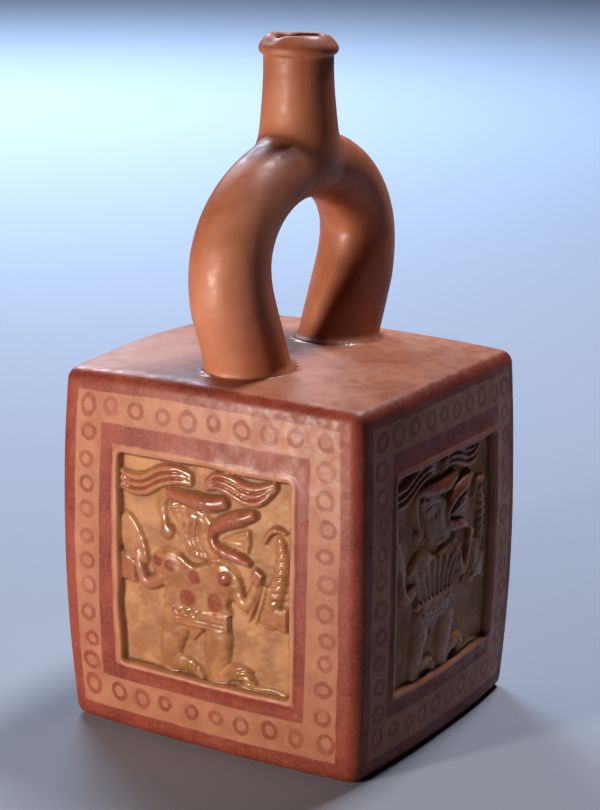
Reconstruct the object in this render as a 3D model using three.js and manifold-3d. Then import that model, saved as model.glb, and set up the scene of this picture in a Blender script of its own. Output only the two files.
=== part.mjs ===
// Stirrup spout vessel: a hollow bottle of fired clay. A box-shaped chamber with bulging walls
// carries a figure in low relief, sunk in a panel, on each upright side. A hollow arch, the
// stirrup, stands on the chamber and carries the pouring spout, and all of it is one piece.
//
// Millimetres. +Z is up, the front panel faces -Y and +X is to its right. The origin lies on
// the underside, in the middle of the chamber.

import * as THREE from 'three';
import { mergeVertices } from 'three/addons/utils/BufferGeometryUtils.js';
import Module from 'manifold-3d';

const wasm = await Module();
wasm.setup();

// ---- Driving dimensions ----

const CHAMBER = { width: 110, depth: 101.7, height: 120, edge: 3.8, wall: 5.5 };

// How far the walls swell beyond a plain box, as shares of the half width or half depth.
const SWELL = { upright: 0.038, front: 0.05, side: 0.0545, splay: 0.006, dome: 1.5 };

const PANEL = { left: -31.6, right: 31.6, bottom: 24.6, top: 95.7, recess: 2.5, draft: 0.5 };

// Centre line of the stirrup: a straight leg that leans in, a bend, and half of an ellipse.
// The whole arch drifts a little towards +Y on its way up, from footY to crownY.
const ARCH = {
  footY: 0.5, crownY: 2.1, halfSpan: 39.1, widestZ: 155.5, crownZ: 184.2, bendRadius: 33, lean: 24,
  footZ: 112, legRadius: 13.35, crownRadius: 11.05, crownHalfWidth: 11.8, taperFromZ: 144,
};

const TUBE_WALL = 3.8;

// Outside of the spout, as [radius, height], from inside the crown up to the lip.
const SPOUT_OUTSIDE = [
  [8.5, 178.5], [11.6, 184], [12.8, 190], [12.9, 194], [12.2, 201], [11.6, 208], [11.3, 219],
  [11.9, 220.1], [12.5, 221.6], [11.5, 223.6], [9.7, 225.6], [8.3, 226],
];
const SPOUT_BORE = [[6.8, 184.2], [8.4, 194], [7.6, 210], [7.1, 222], [7.4, 227]];

const BASE_OF_RELIEF = -0.7; // how deep a raised form is rooted below the floor of its panel

// ---- Solids and booleans ----

/** A closed geometry as a solid that can be joined and cut. */
function toSolid(geometry) {
  const bare = geometry.clone();
  bare.deleteAttribute('normal');
  bare.deleteAttribute('uv');
  const merged = mergeVertices(bare, 1e-5);
  return new wasm.Manifold(new wasm.Mesh({
    numProp: 3,
    vertProperties: new Float32Array(merged.attributes.position.array),
    triVerts: new Uint32Array(merged.index.array),
  }));
}

/** A solid back as a geometry with a normal for each facet. */
function toGeometry(solid) {
  const { vertProperties, triVerts } = solid.getMesh();
  const geometry = new THREE.BufferGeometry();
  geometry.setAttribute('position', new THREE.BufferAttribute(vertProperties, 3));
  geometry.setIndex(new THREE.BufferAttribute(triVerts, 1));
  geometry.computeVertexNormals();
  return geometry;
}

/** Joins rings of points, each counter-clockwise about the way they follow, and caps both ends. */
function skinOver(rings) {
  const count = rings[0].length;
  const points = rings.flat();
  const triangles = [];
  for (let r = 0; r + 1 < rings.length; r += 1) {
    for (let i = 0; i < count; i += 1) {
      const a = r * count + i;
      const b = r * count + (i + 1) % count;
      triangles.push(a, b, b + count, a, b + count, a + count);
    }
  }
  const end = (rings.length - 1) * count;
  for (let i = 1; i + 1 < count; i += 1) {
    triangles.push(0, i + 1, i);
    triangles.push(end, end + i, end + i + 1);
  }
  const geometry = new THREE.BufferGeometry().setFromPoints(points);
  geometry.setIndex(triangles);
  return toSolid(geometry);
}

/** A circle or ellipse of points about a centre, in the plane of two unit vectors. */
function ringAbout(centre, across, along, halfAcross, halfAlong, sides) {
  return Array.from({ length: sides }, (_, i) => {
    const turn = (2 * Math.PI * i) / sides;
    return centre.clone()
      .addScaledVector(across, halfAcross * Math.cos(turn))
      .addScaledVector(along, halfAlong * Math.sin(turn));
  });
}

// ---- The chamber ----

/** Carries a point of the plain box to its place on the swollen one. */
function swell(point) {
  const a = point.x / (CHAMBER.width / 2);
  const b = point.y / (CHAMBER.depth / 2);
  const c = point.z / (CHAMBER.height / 2) - 1;
  const splay = 1 + SWELL.splay * c;
  const upright = 1 + SWELL.upright * (1 - c * c);
  const rise = SWELL.dome * (2 - a * a - b * b) * ((c + 1) / 2) ** 4;
  return new THREE.Vector3(
    point.x * splay * (upright + SWELL.side * (1 - b * b)),
    point.y * splay * (upright + SWELL.front * (1 - a * a)),
    point.z + rise,
  );
}

/** A box with rounded edges, its walls set in by a thickness, then swollen. */
function chamberSolid(inset, edge, facets) {
  const half = new THREE.Vector3(CHAMBER.width / 2, CHAMBER.depth / 2, CHAMBER.height / 2)
    .subScalar(inset);
  const steps = facets + 4;
  const box = new THREE.BoxGeometry(2, 2, 2, steps, steps, steps);
  const position = box.attributes.position;
  const place = (share, reach) => {
    const index = Math.round(((share + 1) / 2) * steps);
    const flat = reach - edge;
    const corner = [reach, flat + edge * Math.tan(Math.PI / 8)];
    if (index < 2) return -corner[index];
    if (index > steps - 2) return corner[steps - index];
    return flat * ((2 * (index - 2)) / facets - 1);
  };
  for (let i = 0; i < position.count; i += 1) {
    const point = new THREE.Vector3(
      place(position.getX(i), half.x),
      place(position.getY(i), half.y),
      place(position.getZ(i), half.z),
    );
    const flat = half.clone().subScalar(edge);
    const core = point.clone().clamp(flat.clone().negate(), flat);
    const outward = point.sub(core).setLength(edge);
    const centreZ = CHAMBER.height / 2;
    const swollen = swell(core.add(outward).setZ(core.z + centreZ));
    position.setXYZ(i, swollen.x, swollen.y, swollen.z);
  }
  return toSolid(box);
}

// ---- The panels ----

// The four upright sides: the way to the right along each, and the way out of it.
const SIDES = {
  front: { across: new THREE.Vector3(1, 0, 0), out: new THREE.Vector3(0, -1, 0) },
  right: { across: new THREE.Vector3(0, 1, 0), out: new THREE.Vector3(1, 0, 0) },
  back: { across: new THREE.Vector3(-1, 0, 0), out: new THREE.Vector3(0, 1, 0) },
  left: { across: new THREE.Vector3(0, -1, 0), out: new THREE.Vector3(-1, 0, 0) },
};

/** The point at u across and v up on a side, at a height above the floor of its panel. */
function onPanel(side, u, v, height) {
  const reach = side.out.x ? CHAMBER.width / 2 : CHAMBER.depth / 2;
  const nominal = side.across.clone().multiplyScalar(u).addScaledVector(side.out, reach).setZ(v);
  return swell(nominal).addScaledVector(side.out, height - PANEL.recess);
}

/** The block that sinks a panel: narrower at its floor than at its mouth. */
function panelCutter(side) {
  const width = PANEL.right - PANEL.left;
  const height = PANEL.top - PANEL.bottom;
  const cells = 2;
  const mouth = PANEL.recess + 2;
  const block = new THREE.BoxGeometry(width, height, mouth, cells, cells, 1);
  const position = block.attributes.position;
  const middleU = (PANEL.left + PANEL.right) / 2;
  const middleV = (PANEL.bottom + PANEL.top) / 2;
  for (let i = 0; i < position.count; i += 1) {
    const lift = position.getZ(i) + mouth / 2;
    const narrow = 1 - (PANEL.draft / width) * 2 * (1 - lift / mouth);
    const u = middleU + position.getX(i) * narrow;
    const v = middleV + position.getY(i) * narrow;
    const point = onPanel(side, u, v, lift);
    position.setXYZ(i, point.x, point.y, point.z);
  }
  return toSolid(block);
}

// ---- Raised forms, in panel millimetres: u to the right of the middle, v above the ground ----

/** A rounded ridge along a smooth line. Widths and rises run evenly from the line's first to last. */
function ridge(points, widths, rises, pieces = 4) {
  const line = new THREE.CatmullRomCurve3(points.map(([u, v]) => new THREE.Vector3(u, v, 0)));
  const along = (values, t) => {
    const place = t * (values.length - 1);
    const low = Math.min(Math.floor(place), values.length - 2);
    return THREE.MathUtils.lerp(values[low], values[low + 1], place - low);
  };
  return (side) => {
    const rings = [];
    for (let i = 0; i <= pieces; i += 1) {
      const t = i / pieces;
      const centre = line.getPoint(t);
      const way = line.getTangent(t);
      const half = along(widths, t) / 2;
      const rise = along(rises, t);
      const section = [[1.05, BASE_OF_RELIEF], [0.75, 0.75 * rise], [0, rise],
        [-0.75, 0.75 * rise], [-1.05, BASE_OF_RELIEF]];
      rings.push(section.map(([share, height]) => onPanel(
        side, centre.x - way.y * half * share, centre.y + way.x * half * share, height,
      )));
    }
    return skinOver(rings);
  };
}

/** A low plate with a bevelled border, inside an outline that runs counter-clockwise. */
function plate(outline, rise, bevel = 0.8) {
  const middle = outline.reduce((sum, [u, v]) => [sum[0] + u, sum[1] + v], [0, 0])
    .map((sum) => sum / outline.length);
  const shrunk = outline.map(([u, v]) => {
    const reach = Math.hypot(u - middle[0], v - middle[1]);
    const share = Math.max(0.3, 1 - bevel / reach);
    return [middle[0] + (u - middle[0]) * share, middle[1] + (v - middle[1]) * share];
  });
  const levels = [[outline, BASE_OF_RELIEF], [outline, 0.45 * rise], [shrunk, rise]];
  return (side) => skinOver(levels.map(([line, height]) => (
    line.map(([u, v]) => onPanel(side, u, v, height)))));
}

/** A round boss, half sunk in the floor. */
function boss(u, v, radius, rise) {
  return (side) => {
    const ball = new THREE.SphereGeometry(1, 8, 6);
    const position = ball.attributes.position;
    for (let i = 0; i < position.count; i += 1) {
      const height = position.getZ(i) * (position.getZ(i) > 0 ? rise : -BASE_OF_RELIEF);
      const du = position.getX(i) * radius;
      const dv = position.getY(i) * radius;
      const point = onPanel(side, u + du, v + dv, height);
      position.setXYZ(i, point.x, point.y, point.z);
    }
    return toSolid(ball);
  };
}

// ---- The figure: a beaked creature in a short tunic that strides to the right ----

const HEAD = [
  ridge([[-31.8, 87.5], [-24, 86.2], [-17, 89], [-10, 91.2], [-2.8, 90]],
    [5, 7.6, 7, 5.6, 1.6], [1.2, 1.8, 1.6], 6),
  ridge([[0, 89.6], [8, 92], [17, 89.2], [26.6, 94.2]], [1.6, 5.6, 6.8, 5.4, 1.4], [1, 2.2, 2.4], 6),
  ridge([[-12.5, 85.6], [-3, 84.4], [8.2, 85]], [2.6, 5, 5, 3], [1.4, 2.8, 2.6]),
  plate([[-11, 80.5], [-10, 73], [-5.5, 66.2], [3, 65.8], [5, 72], [4.5, 78.6], [-2, 82.6]], 1.3),
  ridge([[3.6, 73.6], [5.2, 77.2], [11.6, 80.4], [18.8, 83.8]], [2.6, 4.6, 5.2, 3], [1.6, 2.8, 2.8]),
  ridge([[3.6, 73.6], [6.2, 70.4], [11, 69], [16.8, 67.2]], [2.6, 4, 3.6, 2.4], [1.6, 2.4, 2.2]),
];
const MOUTH_AND_EAR = [
  plate([[5.4, 73.4], [9, 71], [16.6, 69.4], [17.4, 79.6]], 1, 0.5),
  ridge([[-15.2, 83.4], [-14.8, 79], [-13.4, 74]], [4.6, 3.4, 3], [1, 1.2], 3),
  boss(-13.4, 72.6, 2.6, 1.5),
];
const TRUNK = [
  plate([[-19.4, 61], [-14.6, 56], [-13.6, 48.6], [9.2, 48.6], [9.6, 56], [14, 60], [11, 65],
    [4, 65.6], [-2.4, 63.2], [-8, 66.4], [-15, 66.4]], 1.5),
  plate([[-11.6, 48.9], [-10.4, 42.6], [9.4, 42.6], [9.4, 48.9]], 1.9, 0.6),
  ridge([[-14.6, 57.6], [-19.2, 54.4], [-22.6, 56.8], [-24, 63]], [4.4, 4.6, 4, 3], [1.6, 2.2, 1.8]),
  ridge([[12.6, 58.6], [14.6, 53.6], [17.4, 55], [19.8, 62.6]], [4, 4.4, 3.8, 3.4], [1.6, 1.8, 1.4]),
];
const SHOULDERS = [
  boss(-11.6, 61.6, 4.4, 2),
  boss(8, 61.2, 4, 2.7),
];
const HELD = [
  plate([[-30.4, 74.6], [-30, 63], [-24.4, 58.8], [-20.8, 60.4], [-20.8, 66.4], [-25, 75]], 1.4),
  plate([[-31.9, 62.6], [-31.9, 53.4], [-25, 53.4], [-25, 60]], 1.1, 0.5),
  ridge([[23.6, 49.4], [25.6, 58], [27.6, 68], [27.2, 75.6]], [6.4, 5.4, 4.6, 4], [1.2, 1.6, 1.4]),
  ridge([[22.6, 75.6], [24.8, 79.2], [29, 79.6]], [1.8, 2.2, 1.6], [1, 1.8], 4),
];
const LEGS = [
  ridge([[-10.6, 44.4], [-11.4, 37], [-13.2, 30], [-13.6, 25.6]], [9.6, 9.8, 7.4, 7], [1.6, 1.8, 1], 4),
  ridge([[4.8, 44.4], [5, 37], [4.4, 30], [5.4, 25.6]], [9.4, 10.2, 8.2, 8], [1.8, 2.2, 1.4], 4),
  ridge([[-14, 27.8], [-7, 28.4], [-1, 26.2]], [5, 5.2, 3], [1.2, 1.6, 1.2], 3),
  ridge([[6, 27.8], [12.6, 29.8], [17.8, 27.2]], [5, 6, 4.4], [1.4, 1.8, 1.4], 3),
];
const DETAILS = [
  plate([[-7.4, 43], [-3.6, 38.2], [0.8, 43]], 0.9, 0.5),
  plate([[21, 48.4], [29.6, 47.2], [30, 54.6], [25.4, 53.6]], 1.3, 0.6),
  ridge([[16.6, 49.8], [19.4, 54], [22, 61]], [1.8, 2, 1.8], [1, 1.2], 3),
  ridge([[20, 48.6], [22, 54], [23.8, 61.4]], [1.8, 2, 1.8], [1, 1.2], 3),
  ridge([[13, 25.4], [22, 26.2], [30.4, 25.2]], [1.4, 1.4], [0.9, 0.9], 3),
];

// Folds of the pleated tunic, spread over the shoulders and gathered at the waist.
const FOLDS = Array.from({ length: 5 }, (_, i) => {
  const share = i / 4 - 0.5;
  const shoulder = [-3 + 26 * share, 63.6 - 3 * Math.abs(share)];
  return ridge([shoulder, [-2.6 + 20 * share, 57], [-2 + 15 * share, 49.6]], [2.4, 2], [2.3, 2.1], 2);
});

const FIGURES = {
  front: [HEAD, MOUTH_AND_EAR, TRUNK, SHOULDERS, HELD, LEGS, DETAILS],
  right: [HEAD, MOUTH_AND_EAR, TRUNK, HELD, LEGS, FOLDS],
  back: [HEAD, TRUNK, LEGS],
  left: [HEAD, TRUNK, LEGS],
};

// ---- The stirrup and the spout ----

/** Points of the arch's centre line, from one foot over the crown to the other. */
function archLine(bendSteps, crownSteps) {
  const lean = THREE.MathUtils.degToRad(ARCH.lean);
  const bendZ = ARCH.widestZ - ARCH.bendRadius * Math.sin(lean);
  const leg = [];
  const drop = ARCH.bendRadius * (1 - Math.cos(lean));
  leg.push([ARCH.halfSpan - drop - (bendZ - ARCH.footZ) * Math.tan(lean), ARCH.footZ]);
  leg.push([ARCH.halfSpan - drop - (bendZ - ARCH.footZ) * Math.tan(lean) / 2, (bendZ + ARCH.footZ) / 2]);
  for (let i = 0; i < bendSteps; i += 1) {
    const turn = lean * (1 - i / bendSteps);
    leg.push([
      ARCH.halfSpan - ARCH.bendRadius * (1 - Math.cos(turn)),
      ARCH.widestZ - ARCH.bendRadius * Math.sin(turn),
    ]);
  }
  for (let i = 0; i < crownSteps; i += 1) {
    const turn = (Math.PI / 2) * (i / crownSteps);
    leg.push([
      ARCH.halfSpan * Math.cos(turn),
      ARCH.widestZ + (ARCH.crownZ - ARCH.widestZ) * Math.sin(turn),
    ]);
  }
  const rise = ARCH.crownZ - CHAMBER.height;
  const middleY = (z) => THREE.MathUtils.lerp(ARCH.footY, ARCH.crownY, (z - CHAMBER.height) / rise);
  const near = leg.map(([reach, z]) => new THREE.Vector3(0, middleY(z) - reach, z));
  const crown = new THREE.Vector3(0, ARCH.crownY, ARCH.crownZ);
  const far = leg.map(([reach, z]) => new THREE.Vector3(0, middleY(z) + reach, z)).reverse();
  return [...near, crown, ...far];
}

/** The arch as a tube, its skin set in by a thickness. */
function archSolid(inset, sides, bendSteps, crownSteps) {
  const line = archLine(bendSteps, crownSteps);
  const across = new THREE.Vector3(1, 0, 0);
  return skinOver(line.map((centre, i) => {
    const before = line[Math.max(i - 1, 0)];
    const after = line[Math.min(i + 1, line.length - 1)];
    const way = after.clone().sub(before).normalize();
    const along = new THREE.Vector3().crossVectors(way, across);
    const rise = (centre.z - ARCH.taperFromZ) / (ARCH.crownZ - ARCH.taperFromZ);
    const share = THREE.MathUtils.clamp(rise, 0, 1);
    const halfAcross = THREE.MathUtils.lerp(ARCH.legRadius, ARCH.crownHalfWidth, share) - inset;
    const halfAlong = THREE.MathUtils.lerp(ARCH.legRadius, ARCH.crownRadius, share) - inset;
    return ringAbout(centre, across, along, halfAcross, halfAlong, sides);
  }));
}

/** A turned solid about the spout's axis, from a profile of radii and heights. */
function turned(profile, sides) {
  const x = new THREE.Vector3(1, 0, 0);
  const y = new THREE.Vector3(0, 1, 0);
  return skinOver(profile.map(([radius, z]) => (
    ringAbout(new THREE.Vector3(0, ARCH.crownY, z), x, y, radius, radius, sides))));
}

// ---- The vessel ----

function buildVessel() {
  let clay = chamberSolid(0, CHAMBER.edge, 4);
  for (const [name, side] of Object.entries(SIDES)) {
    clay = clay.subtract(panelCutter(side));
    for (const form of FIGURES[name].flat()) {
      clay = clay.add(form(side));
    }
  }
  clay = clay.add(archSolid(0, 16, 3, 6)).add(turned(SPOUT_OUTSIDE, 20));

  const chamberHollow = chamberSolid(CHAMBER.wall, 2, 2);
  const hollow = chamberHollow.add(archSolid(TUBE_WALL, 8, 2, 4)).add(turned(SPOUT_BORE, 10));
  return toGeometry(clay.subtract(hollow));
}

const burnishedClay = new THREE.MeshStandardMaterial({
  color: 0xa8643f, roughness: 0.45, metalness: 0,
});

const vessel = new THREE.Mesh(buildVessel(), burnishedClay);
vessel.name = 'vessel';

const object = new THREE.Group();
object.add(vessel);

export default object;
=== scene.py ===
"""Stirrup spout vessel of burnished clay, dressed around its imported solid.

Lengths in the functions below are millimetres of the vessel; MM turns them into metres at the
end. +Z is up, the front panel faces -Y and the right-hand panel faces +X.
"""
import math

import bpy
import numpy as np
from mathutils import Matrix, Vector


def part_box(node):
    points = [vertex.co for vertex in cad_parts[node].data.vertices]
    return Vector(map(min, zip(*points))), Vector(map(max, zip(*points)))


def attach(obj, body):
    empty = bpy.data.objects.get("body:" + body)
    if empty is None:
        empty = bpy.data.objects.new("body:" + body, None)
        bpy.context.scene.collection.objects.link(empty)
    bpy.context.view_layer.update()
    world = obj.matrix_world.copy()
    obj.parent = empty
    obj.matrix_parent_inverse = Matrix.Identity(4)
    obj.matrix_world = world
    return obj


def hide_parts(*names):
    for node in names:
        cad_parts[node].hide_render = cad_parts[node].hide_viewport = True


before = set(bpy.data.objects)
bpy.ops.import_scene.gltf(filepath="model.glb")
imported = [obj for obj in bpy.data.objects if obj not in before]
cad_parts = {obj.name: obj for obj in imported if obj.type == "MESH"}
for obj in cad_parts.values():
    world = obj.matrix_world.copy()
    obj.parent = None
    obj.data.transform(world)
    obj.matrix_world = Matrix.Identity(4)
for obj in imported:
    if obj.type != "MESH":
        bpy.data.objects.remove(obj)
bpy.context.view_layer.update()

# ---- Sizes, in millimetres ----

VESSEL_TOP = 226.0
low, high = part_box("vessel")
MM = (high[2] - low[2]) / VESSEL_TOP

HALF = np.array([55.0, 50.85, 60.0])  # half width, half depth and half height of the plain chamber
EDGE = 3.8                            # radius of the chamber's edges
WALL = 5.5
RECESS = 2.5                          # depth of a panel's floor below the wall around it
PANEL = (-31.6, 31.6, 24.6, 95.7)     # left, right, bottom and top of a panel's mouth
FINE = (-34.8, 34.8, 21.6, 98.8)      # the finely gridded patch around each panel
HOLE = (-36.0, 36.0, 20.4, 100.0)     # the hole that the patch fills in the coarse wall

ARCH = dict(foot_y=0.5, crown_y=2.1, span=39.1, widest_z=155.5, crown_z=184.2, bend=33.0,
            lean=math.radians(24), foot_z=112.0, leg=13.35, crown=11.05, crown_across=11.8,
            taper_z=144.0)
TUBE_WALL = 3.8
FLARE, FLARE_HEIGHT = 1.2, 2.6        # how far each leg spreads at its foot, and from how high
JOINT_BLEND = 5.0                     # how softly the spout grows out of the arch
JOINT_ZONE = (178.0, 205.0)           # the heights between which their crease lies
JOINT_REACH = 8.0                     # how far from both skins a point is still moved
JOINT_FADE = (4.0, 7.5)               # the distances over which that dies away
JOINT_ROUNDS = 30

# Radius and height of the neck, of the collar over it, and of the bore.
NECK = ((8.5, 178.5), (11.6, 184.0), (12.8, 190.0), (12.9, 194.0), (12.2, 201.0), (11.6, 208.0),
        (11.3, 214.0), (11.25, 219.0))
COLLAR = ((11.25, 219.0), (11.5, 219.4), (12.2, 219.9), (12.5, 220.8), (12.5, 221.7), (12.1, 222.8),
          (11.2, 224.2), (10.2, 225.4), (9.2, 226.0), (8.2, 226.0), (7.4, 225.5), (7.0, 224.4))
BORE = ((6.8, 184.2), (8.4, 194.0), (7.6, 210.0), (7.2, 220.0), (7.0, 224.6), (7.1, 227.5))
LIP_NOTCHES = ((-111.0, 20.0, 0.75), (60.0, 26.0, 0.35), (-30.0, 12.0, 0.25))  # turn, width, depth


def smooth(low_edge, high_edge, x):
    """0 below the low edge, 1 above the high edge, and the cubic 3t^2 - 2t^3 between."""
    t = np.clip((x - low_edge) / (high_edge - low_edge), 0.0, 1.0)
    return t * t * (3.0 - 2.0 * t)


def lumps(points, size, seed):
    """Soft unevenness between -1 and 1: the mean of a few sine waves that run in random directions."""
    rng = np.random.default_rng(seed)
    total = np.zeros(points.shape[:-1])
    waves = 7
    for _ in range(waves):
        way = rng.normal(size=points.shape[-1])
        way *= rng.uniform(0.7, 1.5) * 2.0 * math.pi / size / np.linalg.norm(way)
        total += np.sin(points @ way + rng.uniform(0.0, 2.0 * math.pi))
    return total / waves * 1.6


# ---- The chamber's outer skin ----

def swell(nominal):
    """Carries points of the plain box to the bulging chamber.

    Across each wall the half width grows by 3.8% of the upright parabola 1 - c^2 and by about
    5% of the level one, and the top rises by a fourth power of the height.
    """
    a, b = nominal[..., 0] / HALF[0], nominal[..., 1] / HALF[1]
    c = nominal[..., 2] / HALF[2] - 1.0
    splay = 1.0 + 0.006 * c
    upright = 1.0 + 0.038 * (1.0 - c * c)
    x = nominal[..., 0] * splay * (upright + 0.0545 * (1.0 - b * b))
    y = nominal[..., 1] * splay * (upright + 0.05 * (1.0 - a * a))
    z = nominal[..., 2] + 1.5 * (2.0 - a * a - b * b) * ((c + 1.0) / 2.0) ** 4
    return np.stack([x, y, z], -1)


def rounded(nominal, reach, edge):
    """Pulls points of a box surface onto the same box with round edges, before it is swollen."""
    flat = reach - edge
    middle = np.array([0.0, 0.0, HALF[2]])
    core = np.clip(nominal - middle, -flat, flat)
    out = nominal - middle - core
    out *= edge / np.maximum(np.linalg.norm(out, axis=-1, keepdims=True), 1e-9)
    return middle + core + out


def stations(reach, edge, cell, hole=None):
    """Grid stations from -reach to reach: three across each round edge, even cells between."""
    turn = np.tan(np.linspace(math.pi / 4, 0.0, 4)) * edge
    rim = -(reach - edge) - turn
    breaks = [-(reach - edge)] + (list(hole) if hole else []) + [reach - edge]
    inner = [np.linspace(p, q, max(1, round((q - p) / cell)) + 1)[:-1]
             for p, q in zip(breaks[:-1], breaks[1:])]
    return np.concatenate([rim[:-1], *inner, [reach - edge], -rim[:-1][::-1]])


SIDES = {
    "front": (np.array([1.0, 0, 0]), np.array([0, -1.0, 0])),
    "right": (np.array([0, 1.0, 0]), np.array([1.0, 0, 0])),
    "back": (np.array([-1.0, 0, 0]), np.array([0, 1.0, 0])),
    "left": (np.array([0, -1.0, 0]), np.array([-1.0, 0, 0])),
}


def on_side(side, u, v):
    """The plain box's point at u across and v up on a side."""
    across, out = SIDES[side]
    reach = abs(out @ HALF)
    flat = u[..., None] * across + reach * out
    flat[..., 2] = v
    return flat


def zip_rows(row_a, row_b, at_a, at_b):
    """Triangles between two rows of points, stepping along whichever row lags behind."""
    ends = np.concatenate([at_a[1:], at_b[1:]])
    from_b = np.concatenate([np.zeros(len(at_a) - 1, int), np.ones(len(at_b) - 1, int)])
    order = np.lexsort((from_b, ends))
    from_b = from_b[order]
    i = np.concatenate([[0], np.cumsum(1 - from_b)[:-1]])
    j = np.concatenate([[0], np.cumsum(from_b)[:-1]])
    along_a = np.stack([row_a[i], row_a[np.minimum(i + 1, len(row_a) - 1)], row_b[j]], -1)
    along_b = np.stack([row_a[i], row_b[np.minimum(j + 1, len(row_b) - 1)], row_b[j]], -1)
    return np.where(from_b[:, None] == 1, along_b, along_a)


def quads(ids):
    """Two triangles for each cell of a grid of point numbers, counter-clockwise."""
    a, b, c, d = ids[:-1, :-1], ids[1:, :-1], ids[1:, 1:], ids[:-1, 1:]
    first = np.stack([a, b, c], -1).reshape(-1, 3)
    second = np.stack([a, c, d], -1).reshape(-1, 3)
    return np.concatenate([first, second])


class Skin:
    """Collects points, triangles and per-point values of one surface."""

    def __init__(self):
        self.points, self.nominal, self.paint, self.cavity, self.faces = [], [], [], [], []
        self.count = 0

    def add(self, points, nominal, paint=0.0, cavity=0.5):
        """Adds a grid of points and returns their numbers, laid out as the grid is."""
        shape = points.shape[:-1]
        ids = np.arange(self.count, self.count + math.prod(shape)).reshape(shape)
        self.points.append(points.reshape(-1, 3))
        self.nominal.append(nominal.reshape(-1, 3))
        self.paint.append(np.broadcast_to(paint, (*shape, 4)).reshape(-1, 4))
        self.cavity.append(np.broadcast_to(cavity, shape).reshape(-1))
        self.count += ids.size
        return ids

    def mesh(self, name, inside=0.0):
        """Merges points that share a place and puts the arrays into a mesh."""
        points = np.concatenate(self.points)
        keys = np.round(points * 2e3).astype(np.int64)
        _, first, merged = np.unique(keys, axis=0, return_index=True, return_inverse=True)
        faces = merged.reshape(-1)[np.concatenate(self.faces)]
        turned = np.roll(faces, 1, axis=1)
        faces = faces[(faces != turned).all(1)]
        return mesh_from(name, points[first], faces, inside, np.concatenate(self.nominal)[first],
                         np.concatenate(self.paint)[first], np.concatenate(self.cavity)[first])


PLAIN_SPOT = (0.0, 0.0, 2.0 * HALF[2])  # the nominal place of everything that carries no slip


def mesh_from(name, points, faces, inside=0.0, nominal=PLAIN_SPOT, paint=(0.0, 0.0, 0.0, 0.0), cavity=0.5):
    """A mesh in metres from points in millimetres and triangles, with the values that its clay reads.

    nominal is the place on the plain box, paint holds the shares of red slip, shine, figure and
    sunk field, cavity is above one half in hollows, and inside is 1 on the walls of the hollow.
    """
    mesh = bpy.data.meshes.new(name)
    mesh.vertices.add(len(points))
    mesh.vertices.foreach_set("co", (points * MM).astype(np.float32).ravel())
    mesh.loops.add(faces.size)
    mesh.loops.foreach_set("vertex_index", faces.astype(np.int32).ravel())
    mesh.polygons.add(len(faces))
    mesh.polygons.foreach_set("loop_start", np.arange(0, faces.size, 3, dtype=np.int32))
    mesh.update(calc_edges=True)
    for value_name, kind, field, width, values in (
            ("nominal", "FLOAT_VECTOR", "vector", 3, nominal), ("paint", "FLOAT_COLOR", "color", 4, paint),
            ("cavity", "FLOAT", "value", 1, cavity), ("inside", "FLOAT", "value", 1, inside)):
        layer = mesh.attributes.new(value_name, kind, "POINT")
        filled = np.empty((len(points), width), np.float32)
        filled[:] = np.reshape(values, (-1, width))
        layer.data.foreach_set(field, filled.ravel())
    return mesh


# ---- Lines and outlines for the relief ----

def curve(points, count=24):
    """A Catmull-Rom line through given points, sampled evenly in its parameter."""
    p = np.array(points, float)
    p = np.concatenate([[2 * p[0] - p[1]], p, [2 * p[-1] - p[-2]]])
    t = np.linspace(0, len(points) - 1 - 1e-9, count)
    k = t.astype(int)
    f = (t - k)[:, None]
    a, b, c, d = p[k], p[k + 1], p[k + 2], p[k + 3]
    return 0.5 * (2 * b + (c - a) * f + (2 * a - 5 * b + 4 * c - d) * f ** 2
                  + (3 * b - a - 3 * c + d) * f ** 3)


def closed_curve(points, count=48):
    """A closed Catmull-Rom outline through given points."""
    n = len(points)
    p = np.array(points, float)
    t = np.linspace(0, n, count, endpoint=False)
    k = t.astype(int)
    f = (t - k)[:, None]
    a, b, c, d = p[k - 1], p[k], p[(k + 1) % n], p[(k + 2) % n]
    return 0.5 * (2 * b + (c - a) * f + (2 * a - 5 * b + 4 * c - d) * f ** 2
                  + (3 * b - a - 3 * c + d) * f ** 3)


def distance_along(u, v, line):
    """Distance to a polyline, the share of its length at the nearest point, and the side."""
    start, end = line[:-1], line[1:]
    step = end - start
    length = np.maximum(np.hypot(*step.T), 1e-9)
    du, dv = u[..., None] - start[:, 0], v[..., None] - start[:, 1]
    t = np.clip((du * step[:, 0] + dv * step[:, 1]) / length ** 2, 0.0, 1.0)
    eu, ev = du - t * step[:, 0], dv - t * step[:, 1]
    gap = np.hypot(eu, ev)
    best = gap.argmin(-1)
    pick = lambda values: np.take_along_axis(values, best[..., None], -1)[..., 0]
    run = np.concatenate([[0.0], np.cumsum(length)])
    share = (run[best] + pick(t) * length[best]) / run[-1]
    turn = np.sign(pick(step[:, 0] * dv - step[:, 1] * du))
    return pick(gap), share, turn


def inside_by(u, v, outline):
    """How far points lie inside a closed outline, negative outside it."""
    ring = np.concatenate([outline, outline[:1]])
    gap, _, _ = distance_along(u, v, ring)
    (x0, y0), (x1, y1) = ring[:-1].T, ring[1:].T
    straddles = (y0 > v[..., None]) != (y1 > v[..., None])
    with np.errstate(divide="ignore", invalid="ignore"):
        cross = x0 + (v[..., None] - y0) * (x1 - x0) / (y1 - y0)
    inside = ((straddles & (u[..., None] < cross)).sum(-1) % 2) == 1
    return np.where(inside, gap, -gap)


def along(values, share):
    """Reads an even list of values at a share of its length."""
    return np.interp(share, np.linspace(0, 1, len(values)), values)


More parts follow.
